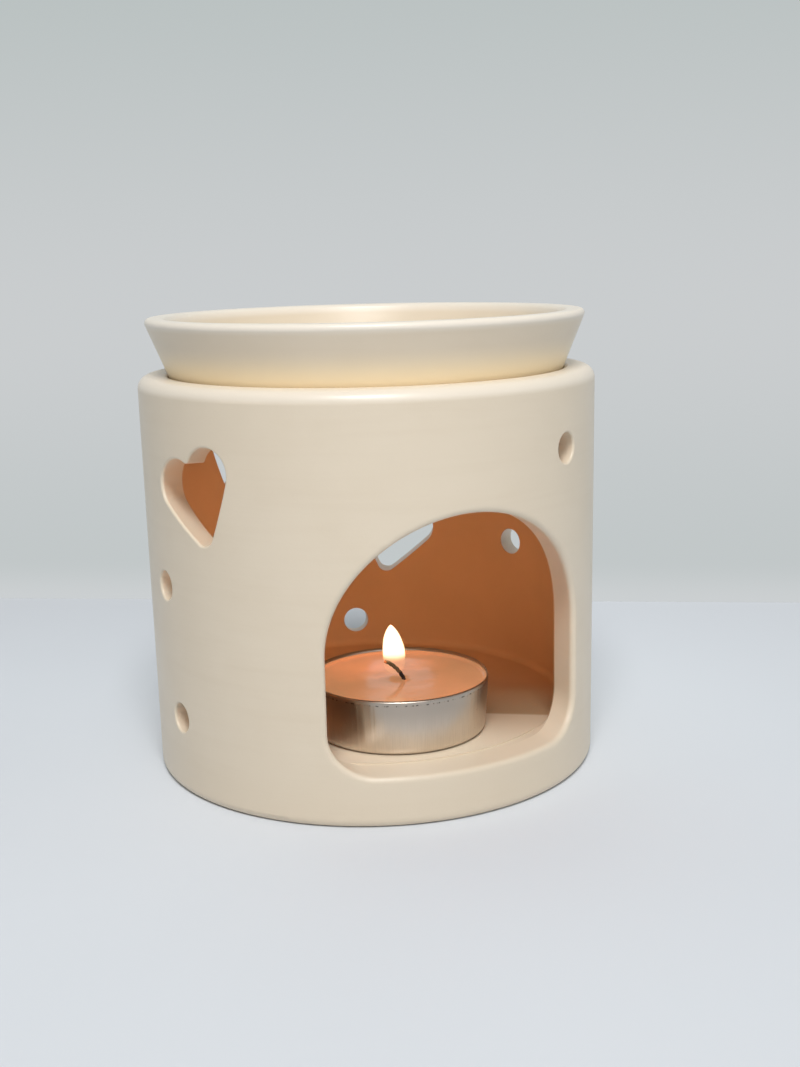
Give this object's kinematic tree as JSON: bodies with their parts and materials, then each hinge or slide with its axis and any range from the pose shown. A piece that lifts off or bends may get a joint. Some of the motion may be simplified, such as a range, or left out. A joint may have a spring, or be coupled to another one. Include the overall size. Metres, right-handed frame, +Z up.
{
  "type": "tea light oil burner",
  "caption": "Ceramic oil and wax burner: a drum pot with an arched door, cut hearts and air holes, a loose flared dish in its mouth, and a tea light inside.",
  "frame": {"origin": "centre of the pot's foot on the table, on the pot's own axis", "axes": "+Z up along the pot's axis; the arched door faces -Y; +X is to the right when facing the door"},
  "size_m": [0.1, 0.1, 0.0993],
  "materials": {
    "glazed_pot": "satin",
    "glazed_dish": "satin",
    "cup_aluminium": "satin",
    "wax": "gloss",
    "wick_cotton": "matte",
    "tinned_steel": "satin"
  },
  "bodies": {
    "pot": {"burner_body": "glazed_pot"},
    "dish": {"oil_dish": "glazed_dish"},
    "tealight": {"tealight_cup": "cup_aluminium", "tealight_wax": "wax", "wick": "wick_cotton", "wick_sustainer": "tinned_steel"}
  },
  "joints": [
    {"name": "dish_lift", "type": "slide", "parent": "pot", "child": "dish", "axis": [0, 0, 1], "range_m": [0, 0.04]},
    {"name": "tealight_slide", "type": "slide", "parent": "pot", "child": "tealight", "axis": [0, -1, 0], "range_m": [-0.02, 0.06]}
  ]
}
